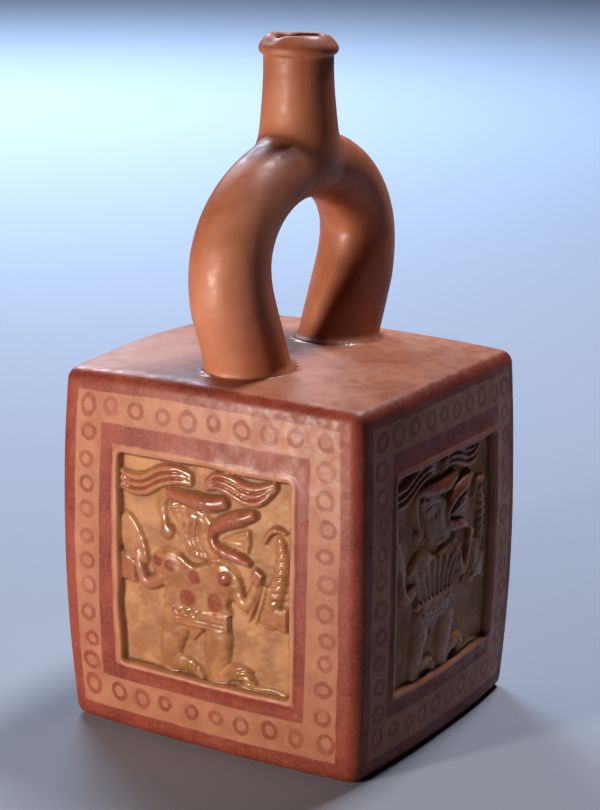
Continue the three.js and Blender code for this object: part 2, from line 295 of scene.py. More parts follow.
class Relief:
    """The height of a panel above its floor, built up form by form, with what is painted on it.

    At each point red is the share of slip, shine the share of gloss, and figure is 1 on a form.
    """

    def __init__(self, u, v):
        self.u, self.v = u, v
        self.height = np.zeros_like(u)
        self.red, self.shine, self.figure = (np.zeros_like(u) for _ in range(3))

    def raise_to(self, height, blend=0.35):
        """Keeps the higher of two surfaces, with a soft valley between them."""
        gap = np.clip(0.5 + 0.5 * (height - self.height) / blend, 0.0, 1.0)
        lifted = self.height + (height - self.height) * gap + blend * gap * (1.0 - gap) * 0.5
        self.height = np.where(height > 0.0, np.maximum(lifted, self.height), self.height)

    def ridge(self, points, widths, rises, red=0.0, shine=0.0, full=0.5):
        """A rounded ridge: rise * (1 - (d / half width)^2)^full."""
        gap, share, _ = distance_along(self.u, self.v, curve(points))
        half = along(widths, share) / 2.0
        ratio = np.clip(gap / half, 0.0, 1.0)
        dome = (1.0 - ratio ** 2) ** full
        self.raise_to(along(rises, share) * dome)
        cover = smooth(1.0, 0.75, ratio)
        self.red = np.maximum(self.red, red * cover)
        self.shine = np.maximum(self.shine, shine * cover)
        self.figure = np.maximum(self.figure, cover)

    def plate(self, points, rise, bevel=1.0, red=0.0, sharp=False):
        """A low plate: its border climbs over the bevel's width as a quarter round."""
        outline = np.array(points, float) if sharp else closed_curve(points)
        depth = inside_by(self.u, self.v, outline)
        t = np.clip(depth / bevel, 0.0, 1.0)
        self.raise_to(rise * np.sqrt(1.0 - (1.0 - t) ** 2))
        cover = smooth(-0.1, 0.35, depth)
        self.red = self.red * (1.0 - cover) + red * cover
        self.figure = np.maximum(self.figure, cover)

    def boss(self, u, v, radius, rise, red=0.0, shine=0.0):
        """A round boss: rise * (1 - (d / radius)^2)^0.6."""
        ratio = np.clip(np.hypot(self.u - u, self.v - v) / radius, 0.0, 1.0)
        self.raise_to(rise * (1.0 - ratio ** 2) ** 0.6)
        cover = smooth(1.0, 0.7, ratio)
        self.red = np.maximum(self.red, red * cover)
        self.shine = np.maximum(self.shine, shine * cover)
        self.figure = np.maximum(self.figure, cover)

    def groove(self, points, width, depth, red=0.0):
        """A scored line: depth * exp(-(d / (width / 2))^2), fading at both ends."""
        gap, share, _ = distance_along(self.u, self.v, curve(points))
        fade = smooth(0.0, 0.12, share) * smooth(1.0, 0.88, share)
        cut = np.exp(-(gap / (width / 2.0)) ** 2) * fade
        self.height -= depth * cut
        self.red = np.maximum(self.red, red * cut)

    def dot(self, u, v, radius, strength=0.9):
        """A painted spot with a hand-drawn edge."""
        angle = np.arctan2(self.v - v, self.u - u)
        wobble = 0.12 * np.sin(2 * angle + u) + 0.08 * np.sin(3 * angle + v)
        gap = np.hypot(self.u - u, self.v - v)
        self.red = np.maximum(self.red, strength * smooth(0.25, -0.25, gap - radius - wobble))


def figure(relief, plain, pleated):
    """The beaked creature that strides to the right, from its headdress down to its feet."""
    r = relief
    # Headdress: two plumes of three strands, and a glossy roll over the brow.
    for shift in (2.2, 0.0, -2.2):
        r.ridge([(-31.5, 87.2 + shift), (-27, 86.0 + shift), (-21.5, 86.6 + shift * 1.05),
                 (-15.5, 89.8 + shift), (-9.5, 91.2 + shift * 0.8), (-4.6, 90.6 + shift * 0.55)],
                (2.6, 2.9, 3.0, 2.8, 2.4), (1.2, 1.7, 1.9, 1.9, 1.3), red=0.2, shine=0.6)
        r.ridge([(1.6, 89.9 + shift * 0.35), (5.4, 91.8 + shift * 0.75), (10, 91.4 + shift),
                 (15.5, 89.5 + shift), (20.5, 89.9 + shift * 0.9), (25.6, 93.4 + shift * 0.35)],
                (2.2, 2.9, 3.0, 2.9, 2.4), (1.4, 2.0, 2.2, 2.5, 1.8), red=0.25, shine=0.9)
    for shift in (1.15, -1.15):
        r.groove([(-31.0, 87.0 + shift), (-27, 86.0 + shift), (-21.5, 86.6 + shift),
                  (-15.5, 89.8 + shift), (-9.5, 91.2 + shift * 0.8), (-5.6, 90.8 + shift * 0.5)],
                 0.9, 0.35, red=0.8)
        r.groove([(2.4, 90.0 + shift * 0.4), (5.4, 91.8 + shift * 0.8), (10, 91.4 + shift),
                  (15.5, 89.5 + shift), (20.5, 89.9 + shift), (24.4, 92.2 + shift * 0.6)],
                 0.9, 0.35, red=0.8)
    # Head: cheek, ear pendant, open beak.
    r.plate([(-12.4, 82.4), (-9.6, 76), (-8.4, 71), (-5.0, 66.4), (2, 65.2), (6.6, 67.2), (4.6, 72),
             (4.6, 77.6), (-1, 81.4)], 1.1, 1.6, red=0.18)
    r.ridge([(-14.4, 84.4), (-15.4, 80.6), (-14.4, 76.4), (-13.5, 72.6)], (4.4, 4.0, 3.2, 3.6),
            (0.8, 1.0, 1.1, 1.3), red=0.15, full=0.7)
    r.boss(-13.5, 72.4, 2.7, 1.5, red=0.25)
    r.ridge([(-12.4, 85.4), (-8, 84.6), (-3, 84.1), (2.6, 84.0), (7.4, 85.2)], (3.4, 4.6, 5.4, 5.6, 4.6),
            (1.6, 2.3, 2.7, 3.0, 2.4), red=0.55, shine=1.0)
    r.ridge([(3.2, 73.4), (4.6, 76.6), (8.6, 79.2), (13.4, 81.2), (18.0, 83.2)],
            (3.0, 4.6, 5.0, 5.2, 3.8), (1.6, 2.4, 2.8, 3.1, 2.4), red=0.62, shine=1.0)
    r.ridge([(3.2, 73.4), (4.6, 70.6), (8.4, 69.2), (12.6, 68.6), (16.2, 67.4)],
            (3.0, 4.0, 4.0, 3.8, 2.8), (1.6, 2.2, 2.4, 2.6, 2.0), red=0.5, shine=1.0)
    if not plain:
        r.plate([(6.2, 73.2), (10.6, 71.4), (16.2, 70.0), (17.3, 73.8), (17.0, 78.4), (11.8, 76.2)],
                1.2, 0.7, red=0.1, sharp=True)
        for k in range(5):
            lean = k * 2.9
            r.groove([(-1.4 - lean * 0.94, 78.4 - 0.25 * lean), (-2.2 - lean * 0.72, 73.6),
                      (-0.2 - lean * 0.62, 69.0 + 0.02 * lean), (2.4 - lean * 0.55, 66.6)],
                     0.9, 0.55, red=0.3)
        for k in range(3):
            r.groove([(-11.5, 81.6 - 1.5 * k), (-5, 82.2 - 1.2 * k), (1.4, 79.9 - 0.8 * k)], 0.7, 0.3)
        for start, end in (((7.4, 73.6), (16.4, 77.2)), ((7.4, 73.2), (16.6, 74.2)),
                           ((7.4, 72.9), (16.2, 71.4))):
            r.groove([start, end], 0.6, 0.3)
    # Tunic with domed shoulders.
    r.plate([(-19.8, 61.0), (-17.2, 64.8), (-13.0, 66.6), (-8.4, 66.0), (-4.4, 63.6), (-1.2, 63.6),
             (3.2, 65.6), (8.2, 65.9), (12.4, 63.2), (14.2, 59.2), (10.8, 56.0), (9.3, 52.0), (9.0, 47.8),
             (-13.8, 47.8), (-14.2, 52.4), (-16.0, 56.2)], 1.5, 1.5, red=0.14)
    r.boss(-12.0, 60.6, 7.0, 2.0)
    r.boss(6.6, 59.8, 7.4, 2.1)
    r.boss(8.4, 61.0, 3.2, 2.9, shine=1.0)
    # Arms: the left one raises a leaf-shaped hand, the right one holds the staff.
    r.ridge([(-14.6, 57.6), (-18.6, 54.6), (-21.8, 54.4), (-23.6, 58.6), (-24.6, 63.6)],
            (4.6, 4.8, 4.6, 4.0, 3.4), (1.6, 2.0, 2.2, 2.2, 1.6), red=0.12, shine=0.7)
    r.ridge([(12.4, 58.6), (13.4, 54.6), (15.6, 53.2), (17.8, 56.4), (20.0, 62.8)],
            (4.2, 4.4, 4.2, 3.8, 3.6), (1.5, 1.7, 1.8, 1.7, 1.4), red=0.1)
    r.plate([(-30.8, 74.8), (-31.4, 68.0), (-29.4, 62.6), (-25.0, 60.8), (-21.0, 60.2), (-20.6, 64.2),
             (-22.4, 69.6), (-25.4, 74.4), (-28.4, 76.6)], 1.3, 1.6, red=0.1)
    r.plate([(-31.6, 63.4), (-31.4, 53.4), (-25.4, 52.8), (-25.8, 60.6)], 1.2, 0.8, red=0.55, sharp=True)
    r.ridge([(23.4, 49.6), (25.0, 56), (27.2, 64), (28.0, 71), (27.4, 76.4)], (6.4, 5.6, 5.2, 4.6, 3.4),
            (1.1, 1.4, 1.6, 1.5, 1.1), red=0.12, full=0.6)
    r.ridge([(22.0, 75.2), (24.0, 78.6), (26.6, 80.0), (29.2, 79.4)], (1.6, 2.0, 2.2, 1.6),
            (0.9, 1.5, 2.0, 1.4), red=0.2, shine=0.8)
    # Belt, loincloth, legs and feet.
    r.plate([(-12.6, 48.8), (-10.6, 42.2), (9.4, 42.2), (9.6, 48.8)], 1.9, 0.9, red=0.3, sharp=True)
    r.plate([(-8.4, 43.4), (-4.0, 37.2), (1.4, 43.4)], 1.0, 0.8, red=0.4, sharp=True)
    r.ridge([(-11.4, 44.2), (-11.2, 39.6), (-12.6, 34.0), (-13.4, 29.0), (-13.0, 25.2)],
            (9.4, 9.8, 8.6, 7.4, 7.2), (1.6, 1.9, 1.7, 1.3, 0.9), red=0.06, full=0.55)
    r.ridge([(4.8, 44.6), (5.2, 39.6), (4.8, 34.0), (4.4, 29.0), (5.0, 25.2)],
            (9.6, 10.4, 9.4, 8.2, 8.2), (1.8, 2.3, 2.0, 1.5, 1.1), red=0.06, full=0.55)
    r.ridge([(-13.5, 28.2), (-8.5, 29.2), (-4.4, 28.4), (-1.6, 26.0)], (5.4, 5.8, 5.2, 3.6),
            (1.2, 1.5, 1.6, 1.2), full=0.6)
    r.ridge([(6.0, 27.6), (10.6, 29.8), (14.4, 30.0), (17.0, 27.4)], (5.2, 5.8, 6.2, 4.6),
            (1.3, 1.6, 1.9, 1.5), full=0.6)
    if plain:
        return
    r.ridge([(12.4, 25.2), (19, 26.0), (25, 26.4), (30.6, 25.2)], (1.6, 1.6, 1.4), (0.8, 1.0, 0.8))
    r.plate([(20.4, 48.6), (29.8, 46.6), (30.2, 55.4), (25.6, 54.0)], 1.3, 0.8, red=0.4, sharp=True)
    r.plate([(16.8, 61.6), (20.0, 59.8), (22.2, 64.6), (18.8, 66.6)], 1.6, 0.8, red=0.55, sharp=True)
    for k in range(3):
        r.ridge([(16.0 + 2.7 * k, 48.4), (18.4 + 2.2 * k, 54.0), (20.8 + 1.5 * k, 60.4)],
                (1.7, 1.9, 1.6), (0.8, 1.3, 1.2))
    for k in range(8):
        level = 56.5 + 2.6 * k
        r.groove([(24.6 + 0.12 * k, level), (30.2, level + 0.7)], 0.8, 0.45)
    for k in range(3):
        r.groove([(12.2, 26.6 + 1.9 * k), (15.4, 27.6 + 1.9 * k), (18.6, 26.8 + 1.9 * k)], 0.7, 0.6)
        r.groove([(-6.6 + 1.5 * k, 25.0), (-5.6 + 1.5 * k, 29.4)], 0.7, 0.4)
    for level in (45.0, 43.6):
        r.groove([(-11.6, level), (9.6, level)], 0.6, 0.35, red=0.4)
    teeth = [(-11.8 + 1.5 * k, 45.8 + 2.4 * (k % 2)) for k in range(8)]
    for start, end in zip(teeth[:-1], teeth[1:]):
        r.groove([start, end], 0.7, 0.3, red=0.5)
    if pleated:
        for k in range(9):
            fan = k / 8.0 - 0.5
            r.groove([(-2.8 + 33.0 * fan, 64.0 - 5.0 * abs(fan)), (-3.0 + 26.0 * fan, 57.0),
                      (-2.4 + 19.0 * fan, 49.6)], 1.6, 0.9, red=0.2)
    else:
        for u, v, radius in ((-16.8, 62.2, 1.9), (-11.4, 61.8, 2.2), (-2.9, 59.2, 2.3), (8.2, 60.4, 2.1),
                             (-5.6, 51.9, 2.9), (4.6, 52.1, 3.0)):
            r.dot(u, v, radius)


def panel_relief(side, u, v):
    """Height above the wall around a panel, negative in the sunk field, and the paint on it."""
    relief = Relief(u, v)
    pleated = side in ("right", "left")
    shifted = Relief(u + (3.6 if pleated else 0.0), 25.0 + (v - 25.0) / (1.04 if pleated else 1.0))
    figure(shifted, side in ("back", "left"), pleated)
    relief.height = shifted.height
    # The sunk field: its wall climbs over a millimetre, to a lip that stands a little proud.
    left, right, bottom, top = PANEL
    spot = np.stack([u, v], -1)
    wander = 0.35 * lumps(spot, 22.0, 11)
    du = np.minimum(u - left, right - u)
    dv = np.minimum(v - bottom, top - v)
    corner = 1.6
    inner = np.where((du < corner) & (dv < corner),
                     corner - np.hypot(corner - du, corner - dv), np.minimum(du, dv)) + wander
    sunk = smooth(-0.35, 1.0, inner)
    lip = 0.35 * np.exp(-((inner + 1.3) / 1.1) ** 2)
    floor = -RECESS + 0.12 * lumps(spot, 9.0, 12) + 0.07 * lumps(spot, 3.5, 13)
    field = floor + relief.height * smooth(-0.2, 1.2, inner)
    height = lip + (field - lip) * sunk
    paint = np.stack([shifted.red * sunk, shifted.shine * sunk, shifted.figure * sunk, sunk], -1)
    return height, paint


def blurred(grid, reach):
    """The mean of a grid's neighbours, weighted by a bell whose width is the reach in cells."""
    steps = np.arange(-round(2 * reach), round(2 * reach) + 1)
    weights = np.exp(-(steps / reach) ** 2)
    weights /= weights.sum()
    for axis in (0, 1):
        pad = [(0, 0), (0, 0)]
        pad[axis] = (steps[-1], steps[-1])
        wide = np.pad(grid, pad, mode="edge")
        size = grid.shape[axis]
        grid = sum(weight * np.take(wide, np.arange(k, k + size), axis) for k, weight in enumerate(weights))
    return grid


def chamber_skin():
    """The outer skin: six coarse walls, four of them with a finely gridded panel zipped in."""
    skin = Skin()
    hole_z = (HOLE[2] - HALF[2], HOLE[3] - HALF[2])
    lines = [stations(HALF[0], EDGE, 2.6, (HOLE[0], HOLE[1])),
             stations(HALF[1], EDGE, 2.6, (HOLE[0], HOLE[1])),
             stations(HALF[2], EDGE, 2.6, hole_z) + HALF[2]]
    cells = {"front": 0.42, "right": 0.5, "back": 0.8, "left": 0.8}
    for side, (across, out) in SIDES.items():
        us = lines[0] if abs(across[0]) else lines[1]
        vs = lines[2]
        u, v = np.meshgrid(us, vs, indexing="ij")
        nominal = rounded(on_side(side, u, v), HALF, EDGE)
        ids = skin.add(swell(nominal), nominal)
        triangles = quads(ids)
        middle = nominal.reshape(-1, 3)[triangles - ids[0, 0]].mean(1)
        mid_u, mid_v = middle @ across, middle[:, 2]
        keep = (abs(mid_u) > HOLE[1]) | (mid_v < HOLE[2]) | (mid_v > HOLE[3])
        skin.faces.append(triangles[keep])
        # The fine patch.
        count_u = round((FINE[1] - FINE[0]) / cells[side])
        count_v = round((FINE[3] - FINE[2]) / cells[side])
        fu, fv = np.linspace(FINE[0], FINE[1], count_u + 1), np.linspace(FINE[2], FINE[3], count_v + 1)
        pu, pv = np.meshgrid(fu, fv, indexing="ij")
        height, paint = panel_relief(side, pu, pv)
        patch = on_side(side, pu, pv)
        # The cavity map: above one half in hollows and below it on ridges. The clay paints shade into the
        # hollows with it, and a partly painted highlight on the ridges.
        hollow = np.clip(0.5 + (blurred(height, 1.1 / cells[side]) - height) / 1.6, 0.0, 1.0)
        fine = skin.add(swell(patch) + height[..., None] * out, patch, paint, hollow)
        skin.faces.append(quads(fine))
        # The zip between the hole's border and the patch's border.
        iu = np.flatnonzero((us >= HOLE[0] - 1e-6) & (us <= HOLE[1] + 1e-6))
        iv = np.flatnonzero((vs >= HOLE[2] - 1e-6) & (vs <= HOLE[3] + 1e-6))
        share = lambda values: (values - values[0]) / (values[-1] - values[0])
        coarse = {"bottom": ids[iu, iv[0]], "right": ids[iu[-1], iv],
                  "top": ids[iu, iv[-1]][::-1], "left": ids[iu[0], iv][::-1]}
        inner = {"bottom": fine[:, 0], "right": fine[-1, :], "top": fine[::-1, -1], "left": fine[0, ::-1]}
        for edge, (at_coarse, at_fine) in {
                "bottom": (share(us[iu]), share(fu)), "right": (share(vs[iv]), share(fv)),
                "top": (1 - share(us[iu])[::-1], 1 - share(fu)[::-1]),
                "left": (1 - share(vs[iv])[::-1], 1 - share(fv)[::-1])}.items():
            skin.faces.append(zip_rows(coarse[edge], inner[edge], at_coarse, at_fine))
    for z_end, turn in ((2 * HALF[2], 1), (0.0, -1)):
        x, y = np.meshgrid(lines[0], lines[1], indexing="ij")
        nominal = rounded(np.stack([x, y, np.full_like(x, z_end)], -1), HALF, EDGE)
        ids = skin.add(swell(nominal), nominal)
        skin.faces.append(quads(ids)[:, ::turn])
    return skin.mesh("chamber_skin")


# ---- The stirrup and the spout ----

def arch_line(cell, foot_cell):
    """The arch's centre line as y, z: a leaning leg, a bend, half an ellipse, and the mirror.

    Points lie a cell apart, and a foot cell apart for the stretch where each leg meets the chamber.
    """
    a = ARCH
    bend_z = a["widest_z"] - a["bend"] * math.sin(a["lean"])
    drop = a["bend"] * (1 - math.cos(a["lean"]))
    z = np.linspace(a["foot_z"], bend_z, 40)
    leg = np.stack([a["span"] - drop - (bend_z - z) * math.tan(a["lean"]), z], -1)
    turn = np.linspace(a["lean"], 0.0, 16)[1:]
    bend = np.stack([a["span"] - a["bend"] * (1 - np.cos(turn)),
                     a["widest_z"] - a["bend"] * np.sin(turn)], -1)
    turn = np.linspace(0.0, math.pi / 2, 60)[1:]
    crown = np.stack([a["span"] * np.cos(turn),
                      a["widest_z"] + (a["crown_z"] - a["widest_z"]) * np.sin(turn)], -1)
    half = np.concatenate([leg, bend, crown])
    both = np.concatenate([half * [-1, 1], half[::-1][1:]])
    rise = (both[:, 1] - 2 * HALF[2]) / (a["crown_z"] - 2 * HALF[2])
    both[:, 0] += a["foot_y"] + (a["crown_y"] - a["foot_y"]) * rise
    run = np.concatenate([[0], np.cumsum(np.hypot(*np.diff(both, axis=0).T))])
    start, end = 5.0, 18.0
    foot = np.arange(start, end, foot_cell)
    at = np.concatenate([[0.0], foot, np.linspace(end, run[-1] - end, round((run[-1] - 2 * end) / cell)),
                         run[-1] - foot[::-1], run[-1:]])
    return np.stack([np.interp(at, run, both[:, 0]), np.interp(at, run, both[:, 1])], -1)


def arch_radii(z):
    """Half widths of the arch across its plane and within it, at a height."""
    share = np.clip((z - ARCH["taper_z"]) / (ARCH["crown_z"] - ARCH["taper_z"]), 0, 1)
    return (ARCH["leg"] + (ARCH["crown_across"] - ARCH["leg"]) * share,
            ARCH["leg"] + (ARCH["crown"] - ARCH["leg"]) * share)


def tube(line, across, within, sides, flare=0.0):
    """Rings of points about a line in the YZ plane, as a grid: line steps by turns.

    Close above the chamber's top each ring widens by the flare times the square of what is left
    of the flare's height, as clay pressed down with a thumb does.
    """
    way = np.gradient(line, axis=0)
    way /= np.hypot(*way.T)[:, None]
    turn = np.linspace(0, 2 * math.pi, sides, endpoint=False)
    wide = np.zeros((len(line), sides))
    for _ in range(2):
        x = (across[:, None] + wide) * np.cos(turn)
        lift = (within[:, None] + wide) * np.sin(turn)
        y = line[:, :1] - way[:, 1:] * lift
        z = line[:, 1:] + way[:, :1] * lift
        top = 2 * HALF[2] + 1.5 * (2 - (x / HALF[0]) ** 2 - (y / HALF[1]) ** 2)
        wide = flare * np.clip(1 - (z - top) / FLARE_HEIGHT, 0.0, 1.0) ** 2
    return np.stack([x, y, z], -1)


def capped(rings):
    """Points and triangles of a closed skin over rings of points, with a fan at each end."""
    steps, sides = rings.shape[:2]
    points = np.concatenate([rings.reshape(-1, 3), rings[:1].mean(1), rings[-1:].mean(1)])
    ids = np.arange(steps * sides).reshape(steps, sides)
    loop = np.concatenate([ids, ids[:, :1]], 1)
    start, end = steps * sides, steps * sides + 1
    first = np.stack([np.full(sides, start), loop[0, :-1], loop[0, 1:]], -1)
    last = np.stack([np.full(sides, end), loop[-1, 1:], loop[-1, :-1]], -1)
    return points, np.concatenate([quads(loop), first, last])


def revolve(profile, sides):
    """Rings about the spout's upright axis from radii and heights."""
    turn = np.linspace(0, 2 * math.pi, sides, endpoint=False)
    r, z = profile[:, 0][:, None], profile[:, 1][:, None]
    return np.stack([r * np.cos(turn), ARCH["crown_y"] + r * np.sin(turn), z + 0 * turn], -1)


def spout_profile():
    """Radius and height from inside the crown up the neck and over the collar towards the bore."""
    return np.concatenate([curve(NECK, 40), curve(COLLAR, 36)[1:]])


def arch_distance(points):
    """Rough distance from the arch's skin, beyond the ellipse round its centre line."""
    line = arch_line(1.5, 1.5)
    gap, share, _ = distance_along(points[:, 1], points[:, 2], line)
    run = np.concatenate([[0], np.cumsum(np.hypot(*np.diff(line, axis=0).T))])
    across, within = arch_radii(np.interp(share * run[-1], run, line[:, 1]))
    ratio = np.hypot(points[:, 0] / across, gap / within)
    return np.hypot(points[:, 0], gap) * (1 - 1 / np.maximum(ratio, 1e-6))


def spout_distance(points):
    """Distance from the spout's skin, measured level."""
    profile = spout_profile()[:60]
    radius = np.hypot(points[:, 0], points[:, 1] - ARCH["crown_y"])
    return radius - np.interp(points[:, 2], profile[:, 1], profile[:, 0])


def stem_distance(points):
    """The smaller of the two distances, rounded off where they are nearly equal."""
    a, b = arch_distance(points), spout_distance(points)
    near = np.clip(JOINT_BLEND - abs(a - b), 0.0, None) / JOINT_BLEND
    return np.minimum(a, b) - near ** 2 * JOINT_BLEND / 4


def soften_joint(stem):
    """Evens out the points along the crease of arch and spout, and lays them on the blended skin."""
    mesh = stem.data
    points = np.empty(len(mesh.vertices) * 3)
    mesh.vertices.foreach_get("co", points)
    points = points.reshape(-1, 3) / MM
    ends = np.empty(len(mesh.edges) * 2, np.int32)
    mesh.edges.foreach_get("vertices", ends)
    ends = ends.reshape(-1, 2)
    bottom, top = JOINT_ZONE
    zone = np.flatnonzero((points[:, 2] > bottom) & (points[:, 2] < top))
    away = np.maximum(abs(arch_distance(points[zone])), abs(spout_distance(points[zone])))
    zone, away = zone[away < JOINT_REACH], away[away < JOINT_REACH]
    share = 1 - smooth(*JOINT_FADE, away)[:, None]
    degree = np.bincount(ends.ravel(), minlength=len(points))[:, None]
    for _ in range(JOINT_ROUNDS):
        total = np.zeros_like(points)
        np.add.at(total, ends[:, 0], points[ends[:, 1]])
        np.add.at(total, ends[:, 1], points[ends[:, 0]])
        points[zone] += 0.5 * share * ((total / degree)[zone] - points[zone])
        spot = points[zone]
        gap = stem_distance(spot)
        slope = np.stack([stem_distance(spot + step) - stem_distance(spot - step)
                          for step in np.eye(3) * 0.05], -1) / 0.1
        points[zone] -= (gap / np.maximum((slope ** 2).sum(1), 0.2))[:, None] * slope * share
    mesh.vertices.foreach_set("co", (points * MM).ravel())


def as_object(mesh):
    """Puts a mesh into the scene as an object at the origin."""
    item = bpy.data.objects.new(mesh.name, mesh)
    bpy.context.scene.collection.objects.link(item)
    return item


def combine(base, tool, operation):
    """Joins or cuts two closed meshes and returns the base, holding the result."""
    cut = base.modifiers.new("cut", "BOOLEAN")
    cut.operation = operation
    cut.solver = "MANIFOLD"
    cut.object = tool
    graph = bpy.context.evaluated_depsgraph_get()
    made = bpy.data.meshes.new_from_object(base.evaluated_get(graph))
    base.modifiers.remove(cut)
    base.data = made
    bpy.data.objects.remove(tool)
    return base


def stem_skin():
    """The stirrup with its spout, joined by a soft crease."""
    line = arch_line(1.35, 0.55)
    across, within = arch_radii(line[:, 1])
    arch = as_object(mesh_from("arch", *capped(tube(line, across, within, 60, FLARE))))
    points, faces = capped(revolve(spout_profile(), 80))
    stem = combine(arch, as_object(mesh_from("spout", points, faces[:, ::-1])), "UNION")
    soften_joint(stem)
    return stem


def hollow_skin():
    """The space inside: the chamber, the arch's bore and the spout's bore, joined."""
    reach = HALF - WALL
    lines = [stations(r, 2.0, 12.0) for r in reach]
    skin = Skin()
    for axis in range(3):
        for sign in (1, -1):
            p, q = [k for k in range(3) if k != axis]
            a, b = np.meshgrid(lines[p], lines[q], indexing="ij")
            box = np.zeros(a.shape + (3,))
            box[..., p], box[..., q], box[..., axis] = a, b, sign * reach[axis]
            box[..., 2] += HALF[2]
            nominal = rounded(box, reach, 2.0)
            ids = skin.add(swell(nominal), nominal)
            outward = sign if axis != 1 else -sign
            skin.faces.append(quads(ids)[:, ::outward])
    chamber = as_object(skin.mesh("hollow", 1.0))
    line = arch_line(3.2, 3.2)
    across, within = arch_radii(line[:, 1])
    bore = tube(line, across - TUBE_WALL, within - TUBE_WALL, 28)
    points, faces = capped(revolve(curve(BORE, 24), 64))
    hollow = combine(chamber, as_object(mesh_from("bore", *capped(bore), 1.0)), "UNION")
    return combine(hollow, as_object(mesh_from("mouth", points, faces[:, ::-1], 1.0)), "UNION")


def hand_made(points):
    """Adds a slow wander of a third of a millimetre, none of it up or down at the foot."""
    drift = np.stack([lumps(points, 70.0, seed) for seed in (3, 4, 5)], -1) * 0.3
    drift[..., 2] *= smooth(0.0, 25.0, points[..., 2])
    return points + drift


def worn_lip(points):
    """Rubs the mouth's edge down: a notch on the near left, a lesser one behind, and a slow wave."""
    spoke = points[:, :2] - [0.0, ARCH["crown_y"]]
    angle = np.arctan2(spoke[:, 1], spoke[:, 0])
    loss = 0.25 + 0.22 * np.sin(3 * angle + 0.6) + 0.12 * np.sin(7 * angle + 2.0)
    for where, width, depth in LIP_NOTCHES:
        turn = (angle - math.radians(where) + math.pi) % (2 * math.pi) - math.pi
        loss += depth * np.exp(-(turn / math.radians(width)) ** 2)
    rubbed = points.copy()
    rubbed[:, 2] -= loss * smooth(221.5, 225.8, points[:, 2])
    rubbed[:, :2] += spoke * (0.02 * np.sin(2 * angle + 1.0) * smooth(219.0, 221.0, points[:, 2]))[:, None]
    return rubbed


def build_vessel():
    """Joins chamber and stem, cuts the hollow out of them, and gives the result its two clays."""
    vessel = combine(as_object(chamber_skin()), stem_skin(), "UNION")
    vessel = combine(vessel, hollow_skin(), "DIFFERENCE")
    vessel.name = "vessel_clay"
    mesh = vessel.data
    mesh.name = "vessel_clay"
    points = np.empty(len(mesh.vertices) * 3)
    mesh.vertices.foreach_get("co", points)
    points = hand_made(worn_lip(points.reshape(-1, 3) / MM))
    mesh.vertices.foreach_set("co", (points * MM).ravel())
    mesh.polygons.foreach_set("use_smooth", np.ones(len(mesh.polygons), bool))
    mesh.materials.clear()
    mesh.materials.append(burnished_clay())
    mesh.materials.append(raw_clay())
    inside = np.zeros(len(mesh.vertices), np.float32)
    mesh.attributes["inside"].data.foreach_get("value", inside)
    corners = np.zeros(len(mesh.loops), np.int32)
    mesh.loops.foreach_get("vertex_index", corners)
    starts = np.zeros(len(mesh.polygons), np.int32)
    mesh.polygons.foreach_get("loop_start", starts)
    hidden = np.minimum.reduceat(inside[corners], starts) > 0.5
    mesh.polygons.foreach_set("material_index", hidden.astype(np.int32))
    return vessel


# ---- Clay, slip, wear, painted shade and painted highlight ----

class Graph:
    """Short calls for the nodes of one material or node group. An input is a socket or a number."""

    def __init__(self, tree):
        self.tree = tree

    def node(self, kind, inputs=(), **settings):
        made = self.tree.nodes.new(kind)
        for name, value in settings.items():
            setattr(made, name, value)
        for key, value in dict(inputs).items():
            self.feed(made.inputs[key], value)
        return made

    def feed(self, socket, value):
        if isinstance(value, bpy.types.NodeSocket):
            self.tree.links.new(value, socket)
        elif isinstance(value, tuple) and socket.type == "RGBA" and len(value) == 3:
            socket.default_value = (*value, 1.0)
        else:
            socket.default_value = value

    def math(self, operation, *values):
        return self.node("ShaderNodeMath", enumerate(values), operation=operation).outputs[0]

    def vector(self, operation, *values):
        return self.node("ShaderNodeVectorMath", enumerate(values), operation=operation).outputs[0]

    def scaled(self, vector, factor):
        made = self.node("ShaderNodeVectorMath", {"Vector": vector, "Scale": factor}, operation="SCALE")
        return made.outputs[0]

    def step(self, value, low_edge, high_edge, start=0.0, end=1.0):
        """Runs smoothly from start to end as the value passes from one edge to the other."""
        inputs = {"Value": value, "From Min": low_edge, "From Max": high_edge,
                  "To Min": start, "To Max": end}
        return self.node("ShaderNodeMapRange", inputs, interpolation_type="SMOOTHSTEP").outputs["Result"]

    def fade(self, value, low_edge, high_edge):
        """1 below the low edge and 0 above the high edge."""
        return self.step(value, low_edge, high_edge, 1.0, 0.0)

    def blend(self, share, first, second):
        made = self.node("ShaderNodeMix", data_type="RGBA")
        self.feed(made.inputs[0], share)
        self.feed(made.inputs[6], first)
        self.feed(made.inputs[7], second)
        return made.outputs[2]

    def between(self, share, first, second):
        """A number between two others."""
        return self.node("ShaderNodeMix", {0: share, 2: first, 3: second}).outputs[0]

    def noise(self, place, size, detail=2.0, rough=0.5):
        """Cloudy noise near one half, with lumps of about the given size in millimetres."""
        inputs = {"Vector": place, "Scale": 1.0 / size, "Detail": detail, "Roughness": rough}
        return self.node("ShaderNodeTexNoise", inputs).outputs[0]

    def attribute(self, name, field="Fac"):
        return self.node("ShaderNodeAttribute", attribute_name=name).outputs[field]

    def split(self, vector):
        return self.node("ShaderNodeSeparateXYZ", {0: vector}).outputs[:]


def group(name, inputs, outputs, build):
    """A shader node group with named sockets, filled in by a function of its graph and inputs."""
    tree = bpy.data.node_groups.new(name, "ShaderNodeTree")
    for socket, kind in inputs:
        tree.interface.new_socket(socket, in_out="INPUT", socket_type="NodeSocket" + kind)
    for socket, kind in outputs:
        tree.interface.new_socket(socket, in_out="OUTPUT", socket_type="NodeSocket" + kind)
    graph = Graph(tree)
    given = tree.nodes.new("NodeGroupInput").outputs
    results = build(graph, {socket: given[socket] for socket, _ in inputs})
    last = tree.nodes.new("NodeGroupOutput")
    for socket, value in results.items():
        graph.feed(last.inputs[socket], value)
    return tree


